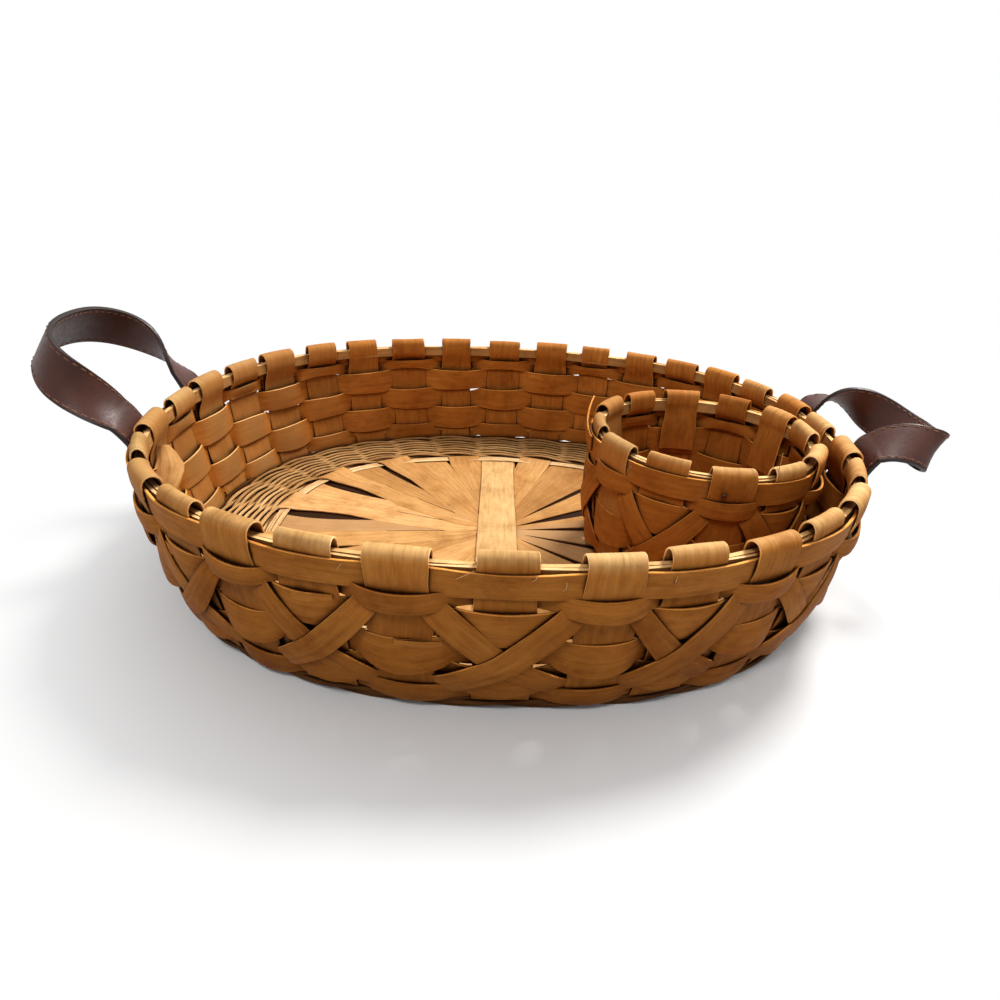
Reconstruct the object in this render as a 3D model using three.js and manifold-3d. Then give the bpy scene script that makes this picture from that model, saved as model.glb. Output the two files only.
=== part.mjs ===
// Chip and dip basket: an oval basket woven from flat wooden splints, with two
// leather strap handles and a round dip basket that stands in it and lifts out.
// Millimetres, +Z up, -Y the near side; the origin is the middle of the underside.
import * as THREE from "three";
import { mergeVertices } from "three/addons/utils/BufferGeometryUtils.js";
import Module from "manifold-3d";

// Splints of both baskets
const SPLINT = 1; // thickness
const GAP = 0.3; // clearance between pieces that lie on each other
const EDGE_CLEARANCE = 1; // a row stays flat this far past a stake's edge
const NARROW_ROW = 9; // height of the top and bottom rows
const ROW_GAP = 0.5; // between rows, up the wall
const RIM_BAND_HEIGHT = 9;
const RIM_BAND_DROP = 7; // from the top of the folds to the band
const CORE_THICKNESS = 3; // laths that the stakes fold over
const CORE_HEIGHT = 8;
const FOLD_RADIUS = 2.2; // height of the rounding at the top of a fold
const SHORT_TAIL = 8; // a folded end, below the point where it meets its stake
const LONG_TAIL = 13;
const TUCK_DROP = 5.5; // a folded end leans in to its stake over this height
const CROSS_WIDTH = 14; // strips that cross in an X on the outside
const CORNER_RADIUS = 4; // stakes turn in at the foot
const WALL_STEPS = 6; // straight lengths up a stake's curve

// Big basket
const RIM_HALF_LENGTH = 195; // to the middle of the stakes, along X
const RIM_HALF_WIDTH = 162; // the same along Y
const OVAL_POWER = 2.3; // 2 is an ellipse, more is squarer
const BASKET_HEIGHT = 88;
const BASE_INSET = 13; // how far the wall comes in at the foot
const STAKE_COUNT = 32;
const STAKE_WIDTH = 24;
const FOOT_LENGTH = 11; // a stake's foot on the floor, under nothing
const SLIT_START = 58; // the floor's slits begin this far from its middle
const CENTRE_STRIP_WIDTH = 25;
const TWINING_ROWS = 6;
const TWINING_PITCH = 4;
const TWINING_HEIGHT = 2.2;
const BUNDLE_WIDTH = 6; // flat bundle of strands inside the twining

// Dip basket
const DIP_RADIUS = 63; // to the middle of the stakes at the rim
const DIP_HEIGHT = 83;
const DIP_INSET = 7;
const DIP_STAKE_COUNT = 12;
const DIP_STAKE_WIDTH = 21;
const DIP_FLOOR = 1.6; // thickness of its floor
const DIP_END_GAP = 16; // from its rim to the big basket's, along X
const DIP_FORWARD = 16; // its middle is this far to the near side

// Leather strap handles, left and right
const STRAP_WIDTH = 24;
const STRAP_THICKNESS = 3;
const STRAP_REACH = { left: 65, right: 42 }; // along the strap, from the wall to the loop's end
const STRAP_POWER = { left: 2.5, right: 2.8 }; // shape of the loop, as OVAL_POWER
const STRAP_RISE = { left: 52, right: 68 }; // degrees above level at the wall
const STRAP_END = { left: 35, right: -43 }; // the same at the loop's end
const STRAP_SKEW = { left: 4, right: 26 }; // the loop's end leans to the near side
const STRAP_TWIST = 58; // the strap would be fully on edge this far from the wall
const LOOP_SPREAD = { left: 15, right: 5 }; // the loop widens by this on each side
const LOOP_STEPS = 36;
const TAB_LENGTH = 14; // strap end flat on the wall
const TAB_THICKNESS = 2.5;
const TAB_EDGE = 0.7; // its top edge is pared to this
const TAB_PARING = 2; // over this height, so that the loop can hang down
const HINGE_GAP = 0.4; // between the tab and the loop that swings on it

const LAYER = SPLINT + GAP; // from the middle of one splint to the next
const FLOOR_LOWER_TOP = SPLINT;
const FLOOR_UPPER_TOP = FLOOR_LOWER_TOP + LAYER;
const TWINING_BASE = FLOOR_UPPER_TOP + GAP;
const TWINING_TOP = TWINING_BASE + TWINING_HEIGHT;
const DIP_BASE = TWINING_TOP + GAP;
const CORE_OUTSIDE = -(LAYER + SPLINT / 2 + GAP);
const CORE_INSIDE = CORE_OUTSIDE - CORE_THICKNESS;
const FOLD_BACK = CORE_INSIDE - GAP - SPLINT / 2; // middle of the inner leg
const CORE_TOP_DROP = FOLD_RADIUS + GAP;
const HANDLE_STAKES = {
  left: [(3 * STAKE_COUNT) / 4 + 1, (3 * STAKE_COUNT) / 4 - 1], // near end, far end
  right: [STAKE_COUNT / 4 - 1, STAKE_COUNT / 4 + 1],
};

const WOOD = { color: 0xb9803f, roughness: 0.62, metalness: 0 };
const PALE_WOOD = { color: 0xd0a263, roughness: 0.66, metalness: 0 };
const LEATHER = { color: 0x3c1f1a, roughness: 0.5, metalness: 0 };

// A named mesh with its own material.
function mesh(name, geometry, finish) {
  const made = new THREE.Mesh(geometry, new THREE.MeshStandardMaterial(finish));
  made.name = name;
  return made;
}

// One closed body through a chain of cross-sections with equal numbers of corners.
function sweep(sections, closed) {
  const corners = sections[0].length;
  const points = sections.flat();
  const faces = [];
  const spans = closed ? sections.length : sections.length - 1;
  for (let i = 0; i < spans; i++) {
    const here = i * corners;
    const next = ((i + 1) % sections.length) * corners;
    for (let a = 0; a < corners; a++) {
      const b = (a + 1) % corners;
      faces.push([here + a, next + a, next + b]);
      faces.push([here + a, next + b, here + b]);
    }
  }
  if (!closed) {
    const end = points.length - corners;
    for (let a = 1; a < corners - 1; a++) {
      faces.push([0, a, a + 1]);
      faces.push([end, end + a + 1, end + a]);
    }
  }
  let volume = 0;
  for (const [a, b, c] of faces) {
    volume += points[a].dot(points[b].clone().cross(points[c]));
  }
  if (volume < 0) {
    faces.forEach((face) => face.reverse());
  }
  const geometry = new THREE.BufferGeometry().setFromPoints(points);
  geometry.setIndex(faces.flat());
  geometry.computeVertexNormals();
  return geometry;
}

// The wall of a basket: stakes set out evenly round an oval, from -Y towards +X.
class Wall {
  constructor({ halfX, halfY, power, height, inset, stakes, stakeWidth }) {
    Object.assign(this, { height, inset, stakes, stakeWidth });
    const steps = 2880;
    const outline = [];
    for (let i = 0; i <= steps; i++) {
      const angle = (2 * Math.PI * i) / steps - Math.PI / 2;
      const cos = Math.cos(angle);
      const sin = Math.sin(angle);
      const x = halfX * Math.sign(cos) * Math.abs(cos) ** (2 / power);
      const y = halfY * Math.sign(sin) * Math.abs(sin) ** (2 / power);
      outline.push(new THREE.Vector2(x, y));
    }
    const run = [0];
    for (let i = 1; i <= steps; i++) {
      run.push(run[i - 1] + outline[i].distanceTo(outline[i - 1]));
    }
    this.pitch = run[steps] / stakes;
    this.frames = [];
    for (let k = 0, i = 0; k < stakes; k++) {
      while (run[i + 1] <= k * this.pitch) {
        i++;
      }
      const share = (k * this.pitch - run[i]) / (run[i + 1] - run[i]);
      const middle = outline[i].clone().lerp(outline[i + 1], share);
      const slope = (v, half) => (Math.sign(v) * Math.abs(v / half) ** (power - 1)) / half;
      const out = new THREE.Vector2(slope(middle.x, halfX), slope(middle.y, halfY));
      out.normalize();
      const along = new THREE.Vector2(-out.y, out.x);
      this.frames.push({ middle, along, out });
    }
  }

  // How far the wall stands in from the rim line at a height.
  lean(z) {
    return this.inset * Math.max(0, 1 - z / this.height) ** 2;
  }

  // A point beside stake k: along the wall, out from the stake's middle layer, up.
  at(k, along, out, z) {
    const frame = this.frames[k % this.stakes];
    const plan = frame.middle.clone();
    plan.addScaledVector(frame.along, along);
    plan.addScaledVector(frame.out, out - this.lean(z));
    return new THREE.Vector3(plan.x, plan.y, z);
  }

  // A strip round the wall, on layer(k) at each stake, between two heights.
  row(layer, low, high, thickness = SPLINT) {
    const reach = this.stakeWidth / 2 + EDGE_CLEARANCE;
    const sections = [];
    for (let k = 0; k < this.stakes; k++) {
      const inner = layer(k) - thickness / 2;
      const outer = layer(k) + thickness / 2;
      for (const along of [-reach, reach]) {
        sections.push([
          this.at(k, along, inner, low),
          this.at(k, along, outer, low),
          this.at(k, along, outer, high),
          this.at(k, along, inner, high),
        ]);
      }
    }
    return sweep(sections, true);
  }

  // A strip on the outside that rises and falls, turning at every second long-folded stake.
  crossing(turn, low, high) {
    const reach = this.stakeWidth / 2 + EDGE_CLEARANCE;
    const middle = (low + high) / 2;
    const swing = (high - low - CROSS_WIDTH) / 2;
    const sections = [];
    for (let k = 0; k < this.stakes; k++) {
      const over = (k + turn) % 4 === 1;
      const layer = (over ? 3 : 2) * LAYER;
      for (const along of [-reach, 0, reach]) {
        const phase = (Math.PI / 2) * (k + along / this.pitch - turn);
        const climb = ((swing * Math.PI) / 2 / this.pitch) * Math.sin(phase);
        const half = (CROSS_WIDTH / 2) * Math.hypot(1, climb);
        const z = middle + swing * Math.cos(phase);
        sections.push([
          this.at(k, along, layer - SPLINT / 2, z - half),
          this.at(k, along, layer + SPLINT / 2, z - half),
          this.at(k, along, layer + SPLINT / 2, z + half),
          this.at(k, along, layer - SPLINT / 2, z + half),
        ]);
      }
    }
    return sweep(sections, true);
  }

  // A stake: foot, wall, fold over the rim and the folded end inside. Odd stakes
  // go outside the rim band and have long folded ends.
  stake(k, footZ, footLength) {
    const top = this.height;
    const long = k % 2 === 1;
    const leave = top - CORE_TOP_DROP - CORE_HEIGHT - GAP;
    const underBand = top - RIM_BAND_DROP - RIM_BAND_HEIGHT - TUCK_DROP / 2;
    const meet = Math.min(leave - TUCK_DROP, long ? underBand : leave);
    const path = [];
    const add = (out, z) => path.push(new THREE.Vector2(out - this.lean(z), z));
    add(-footLength, footZ);
    add(-CORNER_RADIUS, footZ);
    add(-CORNER_RADIUS * 0.29, footZ + CORNER_RADIUS * 0.29);
    add(0, footZ + CORNER_RADIUS);
    for (let i = 1; i < WALL_STEPS; i++) {
      add(0, THREE.MathUtils.lerp(footZ + CORNER_RADIUS, top - FOLD_RADIUS, i / WALL_STEPS));
    }
    add(0, top - FOLD_RADIUS);
    add(FOLD_BACK * 0.12, top - SPLINT / 2 - FOLD_RADIUS * 0.2);
    add(FOLD_BACK * 0.5, top - SPLINT / 2);
    add(FOLD_BACK * 0.88, top - SPLINT / 2 - FOLD_RADIUS * 0.2);
    add(FOLD_BACK, top - FOLD_RADIUS);
    add(FOLD_BACK, leave);
    add(-LAYER, meet);
    add(-LAYER, meet - (long ? LONG_TAIL : SHORT_TAIL));
    const half = this.stakeWidth / 2;
    const sections = path.map((here, i) => {
      const before = path[Math.max(i - 1, 0)];
      const after = path[Math.min(i + 1, path.length - 1)];
      const into = here.clone().sub(before).normalize();
      const from = after.clone().sub(here).normalize();
      const run = into.clone().add(from).normalize();
      const side = new THREE.Vector2(-run.y, run.x);
      const straight = i === 0 || i === path.length - 1 ? 1 : run.dot(from);
      side.multiplyScalar(SPLINT / 2 / straight);
      const corner = (along, sign) => {
        const out = here.x + sign * side.x;
        const z = here.y + sign * side.y;
        return this.at(k, along, out + this.lean(z), z);
      };
      return [corner(-half, 1), corner(half, 1), corner(half, -1), corner(-half, -1)];
    });
    return sweep(sections, false);
  }

  // Heights of the rows from the rim band down, narrow at the top and, where asked, the foot.
  rowHeights(foot, wide, narrowFoot) {
    const top = this.height - RIM_BAND_DROP - RIM_BAND_HEIGHT - ROW_GAP;
    const narrow = narrowFoot ? 2 : 1;
    const gaps = (wide + narrow - 1) * ROW_GAP;
    const height = (top - foot - narrow * NARROW_ROW - gaps) / wide;
    const rows = [];
    let z = top;
    for (let i = 0; i < wide + narrow; i++) {
      const tall = i === 0 || i > wide ? NARROW_ROW : height;
      rows.push([z - tall, z]);
      z -= tall + ROW_GAP;
    }
    return rows;
  }

  // Rows, rim band, rim core and the crossing strips, under a common prefix.
  weave(prefix, rows) {
    const top = this.height;
    const made = [];
    rows.forEach(([low, high], i) => {
      const overLong = i % 2 === 0;
      const inside = i < 2 ? -2 * LAYER : -LAYER; // clear of the folded ends
      const layer = (k) => ((k % 2 === 1) === overLong ? LAYER : inside);
      made.push(mesh(`${prefix}row_${i + 1}`, this.row(layer, low, high), WOOD));
    });
    const bandTop = top - RIM_BAND_DROP;
    const band = this.row(
      (k) => (k % 2 === 1 ? -LAYER : LAYER),
      bandTop - RIM_BAND_HEIGHT,
      bandTop,
    );
    const coreTop = top - CORE_TOP_DROP;
    const core = this.row(
      () => (CORE_INSIDE + CORE_OUTSIDE) / 2,
      coreTop - CORE_HEIGHT,
      coreTop,
      CORE_THICKNESS,
    );
    made.push(mesh(`${prefix}rim_band`, band, WOOD));
    made.push(mesh(`${prefix}rim_core`, core, PALE_WOOD));
    const high = rows[0][0] - ROW_GAP;
    const low = rows[3][0];
    made.push(mesh(`${prefix}cross_strip_a`, this.crossing(1, low, high), WOOD));
    made.push(mesh(`${prefix}cross_strip_b`, this.crossing(3, low, high), WOOD));
    return made;
  }
}

// A flat panel slit into fingers that reach every second stake, from the first.
function floorPanel(wall, first, base) {
  const ends = [];
  for (let k = first; k < wall.stakes; k += 2) {
    const half = wall.stakeWidth / 2;
    ends.push([wall.at(k, -half, 0, 0), wall.at(k, half, 0, 0), wall.at(k, 0, 0, 0)]);
  }
  const outline = [];
  ends.forEach(([left, right, middle], i) => {
    const next = ends[(i + 1) % ends.length][2];
    const slit = middle.clone().normalize().add(next.clone().normalize());
    slit.setLength(SLIT_START);
    outline.push(left, right, slit);
  });
  const shape = new THREE.Shape(outline.map((p) => new THREE.Vector2(p.x, p.y)));
  const geometry = new THREE.ExtrudeGeometry(shape, { depth: SPLINT, bevelEnabled: false });
  return geometry.translate(0, 0, base);
}

// A ring on the floor, following the wall, with a profile of [out, z] corners.
function floorRing(wall, profile) {
  const sections = [];
  for (let k = 0; k < wall.stakes; k++) {
    const frame = wall.frames[k];
    sections.push(
      profile.map(([out, z]) => {
        const plan = frame.middle.clone();
        plan.addScaledVector(frame.out, out - wall.lean(0));
        return new THREE.Vector3(plan.x, plan.y, z);
      }),
    );
  }
  return sweep(sections, true);
}

const wasm = await Module();
wasm.setup();

function solid(geometry) {
  const bare = new THREE.BufferGeometry();
  bare.setAttribute("position", geometry.getAttribute("position"));
  bare.setIndex(geometry.index);
  const merged = mergeVertices(bare);
  const made = new wasm.Mesh({
    numProp: 3,
    vertProperties: new Float32Array(merged.attributes.position.array),
    triVerts: new Uint32Array(merged.index.array),
  });
  return new wasm.Manifold(made);
}

function fromSolid(body) {
  const made = body.getMesh();
  const geometry = new THREE.BufferGeometry();
  geometry.setAttribute("position", new THREE.BufferAttribute(made.vertProperties, 3));
  geometry.setIndex(new THREE.BufferAttribute(made.triVerts, 1));
  geometry.computeVertexNormals();
  return geometry;
}

// A leather handle: two strap ends flat on the wall and a loop that swings on them.
// The strap leaves the wall lying flat, goes round the loop on edge and comes back flat.
function handle(wall, side, low) {
  const tabOut = LAYER + SPLINT / 2 + GAP;
  const high = low + TAB_LENGTH;
  const [near, far] = HANDLE_STAKES[side];
  const tab = (k) => {
    const sections = [-STRAP_WIDTH / 2, STRAP_WIDTH / 2].map((along) => [
      wall.at(k, along, tabOut, low),
      wall.at(k, along, tabOut + TAB_THICKNESS, low),
      wall.at(k, along, tabOut + TAB_THICKNESS, high - TAB_PARING),
      wall.at(k, along, tabOut + TAB_EDGE, high),
      wall.at(k, along, tabOut, high),
    ]);
    return sweep(sections, false);
  };
  const hingeOut = tabOut + TAB_THICKNESS + HINGE_GAP;
  const hingeHeight = high + HINGE_GAP + STRAP_THICKNESS / 2;
  const start = wall.at(near, 0, hingeOut, hingeHeight);
  const finish = wall.at(far, 0, hingeOut, hingeHeight);
  const centre = start.clone().lerp(finish, 0.5);
  const chord = finish.clone().sub(start);
  const half = chord.length() / 2;
  chord.normalize();
  const up = new THREE.Vector3(0, 0, 1);
  const level = new THREE.Vector3().crossVectors(chord, up);
  level.multiplyScalar(side === "right" ? 1 : -1);
  const reach = STRAP_REACH[side];
  const rise = THREE.MathUtils.degToRad(STRAP_RISE[side]);
  const bend = THREE.MathUtils.degToRad(STRAP_END[side]) - rise;
  const outward = (slope) => {
    const made = level.clone().multiplyScalar(Math.cos(slope));
    return made.addScaledVector(up, Math.sin(slope));
  };
  const stations = [];
  for (let i = 0; i <= LOOP_STEPS; i++) {
    const angle = Math.PI * (1 - i / LOOP_STEPS);
    const cos = Math.cos(angle);
    const power = 2 / STRAP_POWER[side];
    const away = reach * Math.max(0, Math.sin(angle)) ** power;
    const turned = THREE.MathUtils.smoothstep(away, 0, STRAP_TWIST);
    const spread = half + LOOP_SPREAD[side] * turned;
    const along = spread * Math.sign(cos) * Math.abs(cos) ** power;
    const arc = (bend * away) / reach / 2;
    const straight = away * (arc === 0 ? 1 : Math.sin(arc) / arc);
    const point = centre.clone().addScaledVector(outward(rise + arc), straight);
    point.addScaledVector(chord, along - STRAP_SKEW[side] * (away / reach) ** 2);
    const quarter = (Math.PI / 2) * turned;
    const twist = 2 * i <= LOOP_STEPS ? quarter : Math.PI - quarter;
    const wide = outward(rise + 2 * arc + Math.PI / 2).multiplyScalar(Math.sin(twist));
    wide.addScaledVector(chord, Math.cos(twist));
    stations.push({ point, wide, thick: 1 });
  }
  stations.forEach((here, i) => {
    const before = stations[Math.max(i - 1, 0)].point;
    const after = stations[Math.min(i + 1, LOOP_STEPS)].point;
    here.run = after.clone().sub(before).normalize();
  });
  stations[0].run = outward(rise);
  stations[LOOP_STEPS].run = outward(rise).negate();
  // Rounded ends: how far past the hinge line, and how thick there
  for (const [past, thick] of [[0.7, 0.7], [0.97, 0.2]]) {
    const back = (end) => {
      const point = end.point.clone();
      point.addScaledVector(outward(rise), (-past * STRAP_THICKNESS) / 2);
      return { ...end, point, thick };
    };
    stations.unshift(back(stations.find((s) => s.thick === 1)));
    stations.push(back(stations.findLast((s) => s.thick === 1)));
  }
  const sections = stations.map(({ point, wide, run, thick }) => {
    const across = wide.clone().addScaledVector(run, -wide.dot(run)).normalize();
    const face = new THREE.Vector3().crossVectors(run, across);
    const corner = (a, b) => {
      const made = point.clone().addScaledVector(across, (a * STRAP_WIDTH) / 2);
      return made.addScaledVector(face, (b * thick * STRAP_THICKNESS) / 2);
    };
    return [corner(-1, -1), corner(1, -1), corner(1, 1), corner(-1, 1)];
  });
  return [
    mesh(`${side}_handle_loop`, sweep(sections, false), LEATHER),
    mesh(`${side}_handle_tab_near`, tab(near), LEATHER),
    mesh(`${side}_handle_tab_far`, tab(far), LEATHER),
  ];
}

const part = new THREE.Group();
part.name = "chip_and_dip_basket";

const wall = new Wall({
  halfX: RIM_HALF_LENGTH,
  halfY: RIM_HALF_WIDTH,
  power: OVAL_POWER,
  height: BASKET_HEIGHT,
  inset: BASE_INSET,
  stakes: STAKE_COUNT,
  stakeWidth: STAKE_WIDTH,
});
const basket = new THREE.Group();
basket.name = "basket";
for (let k = 0; k < STAKE_COUNT; k++) {
  const floorTop = k % 2 === 1 ? FLOOR_LOWER_TOP : FLOOR_UPPER_TOP;
  const footZ = floorTop + GAP + SPLINT / 2;
  const name = `stake_${String(k).padStart(2, "0")}`;
  basket.add(mesh(name, wall.stake(k, footZ, FOOT_LENGTH), WOOD));
}
basket.add(mesh("floor_lower", floorPanel(wall, 1, 0), PALE_WOOD));
basket.add(mesh("floor_upper", floorPanel(wall, 0, FLOOR_LOWER_TOP + GAP), PALE_WOOD));
const twiningOut = -FOOT_LENGTH - GAP;
const twiningIn = twiningOut - TWINING_ROWS * TWINING_PITCH;
const ridges = [];
for (let i = 0; i < TWINING_ROWS; i++) {
  const outer = twiningOut - i * TWINING_PITCH;
  ridges.push([outer, TWINING_BASE + TWINING_HEIGHT / 2]);
  ridges.push([outer - TWINING_PITCH / 2, TWINING_TOP]);
}
const bundleIn = twiningIn - BUNDLE_WIDTH;
const twining = floorRing(wall, [
  [bundleIn, TWINING_BASE],
  [twiningOut, TWINING_BASE],
  ...ridges,
  [twiningIn, TWINING_BASE + SPLINT],
  [bundleIn, TWINING_BASE + SPLINT],
]);
basket.add(mesh("twining", twining, WOOD));
const ringPoint = (k) => {
  const frame = wall.frames[k];
  return frame.middle.clone().addScaledVector(frame.out, bundleIn - wall.lean(0));
};
const stripShare = CENTRE_STRIP_WIDTH / 2 / ringPoint(1).x;
const stripReach = -ringPoint(0).lerp(ringPoint(1), stripShare).y - GAP;
const strip = new THREE.BoxGeometry(CENTRE_STRIP_WIDTH, 2 * stripReach, SPLINT);
const centreStrip = mesh("centre_strip", strip, PALE_WOOD);
centreStrip.position.z = TWINING_BASE + SPLINT / 2;
basket.add(centreStrip);
const rowFoot = FLOOR_UPPER_TOP + LAYER + CORNER_RADIUS;
const rows = wall.rowHeights(rowFoot, 3, true);
basket.add(...wall.weave("", rows));
part.add(basket);

const dipWall = new Wall({
  halfX: DIP_RADIUS,
  halfY: DIP_RADIUS,
  power: 2,
  height: DIP_HEIGHT,
  inset: DIP_INSET,
  stakes: DIP_STAKE_COUNT,
  stakeWidth: DIP_STAKE_WIDTH,
});
const dip = new THREE.Group();
dip.name = "dip_basket";
dip.position.set(RIM_HALF_LENGTH - DIP_RADIUS - DIP_END_GAP, -DIP_FORWARD, DIP_BASE);
const floorRadius = DIP_RADIUS - DIP_INSET - CORNER_RADIUS;
const floorDisc = new THREE.CylinderGeometry(floorRadius, floorRadius, DIP_FLOOR, 48);
floorDisc.rotateX(Math.PI / 2).translate(0, 0, DIP_FLOOR / 2);
let dipBody = solid(floorDisc);
for (let k = 0; k < DIP_STAKE_COUNT; k++) {
  const stake = dipWall.stake(k, DIP_FLOOR / 2, CORNER_RADIUS + FOOT_LENGTH);
  dipBody = dipBody.add(solid(stake));
}
dip.add(mesh("dip_stakes", fromSolid(dipBody), WOOD));
dip.add(...dipWall.weave("dip_", dipWall.rowHeights(DIP_FLOOR + SPLINT + CORNER_RADIUS, 3, false)));
part.add(dip);

const tabLow = rows[0][0] - ROW_GAP + GAP; // strap ends stand clear of the crossing strips
part.add(...handle(wall, "left", tabLow), ...handle(wall, "right", tabLow));

export default part;
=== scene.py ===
import math

import bpy
import numpy as np
from mathutils import Matrix, Vector


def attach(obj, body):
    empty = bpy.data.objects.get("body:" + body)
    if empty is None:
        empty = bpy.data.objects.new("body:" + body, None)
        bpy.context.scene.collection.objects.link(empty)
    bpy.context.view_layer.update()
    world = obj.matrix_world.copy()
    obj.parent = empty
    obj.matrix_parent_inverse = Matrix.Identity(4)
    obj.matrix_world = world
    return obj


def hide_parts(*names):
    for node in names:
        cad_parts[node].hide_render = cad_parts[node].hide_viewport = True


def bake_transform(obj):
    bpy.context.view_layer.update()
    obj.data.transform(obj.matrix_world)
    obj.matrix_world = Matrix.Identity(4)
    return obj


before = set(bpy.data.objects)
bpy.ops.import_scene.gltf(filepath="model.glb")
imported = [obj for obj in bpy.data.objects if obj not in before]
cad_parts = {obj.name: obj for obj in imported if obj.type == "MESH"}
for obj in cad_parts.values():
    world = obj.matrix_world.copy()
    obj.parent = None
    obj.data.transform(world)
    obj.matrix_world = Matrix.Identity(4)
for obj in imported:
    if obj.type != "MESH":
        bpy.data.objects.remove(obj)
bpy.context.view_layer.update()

MM = 0.001
rng = np.random.default_rng(11)

# Sizes of the part; the stakes are wider and the straps thinner than in its source
SPLINT = 1.0 * MM
RIM_HALF_LENGTH = 195 * MM
RIM_HALF_WIDTH = 162 * MM
RIM_SQUARENESS = 2.3
HEIGHT = 88 * MM
BASE_LEAN = 13 * MM
STAKES = 32
STAKE_WIDTH = 25.5 * MM
DIP_RADIUS = 63 * MM
DIP_PLACE = (116 * MM, -16 * MM)
DIP_BASE = 5.1 * MM
DIP_HEIGHT = 83 * MM
DIP_LEAN = 7 * MM
DIP_STAKES = 12
DIP_STAKE_WIDTH = 24 * MM
ROW_TOP = 16.5 * MM
ROW_GAP = 0.5 * MM
NARROW_ROW = 9 * MM
STRAP_WIDTH = 24 * MM
STRAP_THICKNESS = 2.8 * MM
HINGE_OUT = 5.0 * MM
HINGE_HEIGHT = 78.2 * MM
STRAP_TWIST = 58 * MM
# Strap loops: stakes of the two ends, reach, squareness, angles off level at the wall and at the tip
STRAPS = {
    "left": {"ends": (25, 23), "sign": -1, "reach": 65 * MM, "power": 2.5, "rise": 52, "end": 35,
             "skew": 4 * MM, "spread": 15 * MM},
    "right": {"ends": (7, 9), "sign": 1, "reach": 42 * MM, "power": 2.8, "rise": 68, "end": -43,
              "skew": 26 * MM, "spread": 5 * MM},
}
# How far each stake stands along the rim from even spacing, in millimetres
SHIFTS = [1.6, 6.0, 3.2, 4.2, 2.2, 2.4, 2.4, 0, 0.5, 0, -1, -4, -6, -6.5, -6.5, -5]
SHIFTS += [-2, 1, 4.5, 5.5, 5.5, 4, 0.6, 0, -0.5, 0, 1.4, 1.6, 0.8, -2.6, -4.2, -3.4]
# The small basket is also turned by one stake
DIP_SHIFTS = [29.2, 28, 32, 29, 28.5, 30, 28, 27, 31, 30, 29.7, 30]
# Tails of the odd stakes inside: how far out and how far below the rim, in millimetres
TAIL = [(-2.4, 20), (-1.5, 27), (-1.4, 33)]
DIP_TAIL = [(-6.4, 20), (-6.8, 29), (-6.5, 39)]
# The even stakes' shorter tails
SHORT_TAIL = [(-2.4, 16.5), (-1.6, 24)]
# Corners of a splint's cross-section: share of the half width, share of the half thickness
SECTION = np.array(
    [(-0.97, 1), (-0.5, 1), (0, 1), (0.5, 1), (0.97, 1), (1, 0.45), (1, -0.45)]
    + [(0.97, -1), (0.5, -1), (0, -1), (-0.5, -1), (-0.97, -1), (-1, -0.45), (-1, 0.45)]
)
ACROSS, THROUGH = SECTION.T
EDGES = np.abs(ACROSS)
# The same for a squarer lath
LATH = np.array(
    [(-0.97, 1), (0, 1), (0.97, 1), (0.99, 0.92), (0.99, 0), (0.99, -0.92)]
    + [(0.97, -1), (0, -1), (-0.97, -1), (-0.99, -0.92), (-0.99, 0), (-0.99, 0.92)]
)
# Half of a strap's cross-section, with a groove for the stitches near each edge
STRAP_FACE = [(-0.985, 0.8), (-0.93, 1), (-0.85, 0.93), (-0.75, 1), (-0.4, 1.04), (0, 1.06)]
STRAP_FACE += [(0.4, 1.04), (0.75, 1), (0.85, 0.93), (0.93, 1), (0.985, 0.8), (1, 0)]
GROOVE, GROOVE_FLOOR = 0.85, 0.93
# Stitches: their size, half length as a share of the step, and rise along their length in millimetres
STITCH_STEP, STITCH_WIDTH, STITCH_HEIGHT = 4.2 * MM, 0.75 * MM, 0.6 * MM
STITCH_HALF = 0.34
STITCH_RISE = (-0.25, 0.05, 0.15, 0.05, -0.25)


def smooth(t):
    """A smooth step from 0 to 1."""
    t = np.clip(t, 0, 1)
    return t * t * (3 - 2 * t)


def wobble(count, size, grain=6, closed=False):
    """Slow random drift along a strip, of about the given size."""
    knots = rng.normal(0, size, max(2, count // grain) + 1)
    if closed:
        knots[-1] = knots[0]
    x = np.linspace(0, len(knots) - 1, count, endpoint=not closed)
    i = np.minimum(x.astype(int), len(knots) - 2)
    return knots[i] + (knots[i + 1] - knots[i]) * smooth(x - i)


def ring_wobble(count, size, grain=9):
    """The same drift round a closed strip."""
    return wobble(count, size, grain, closed=True)


def any_tone():
    """The tone of a strip that nothing else sets."""
    return rng.uniform(0.3, 0.7)


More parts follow.
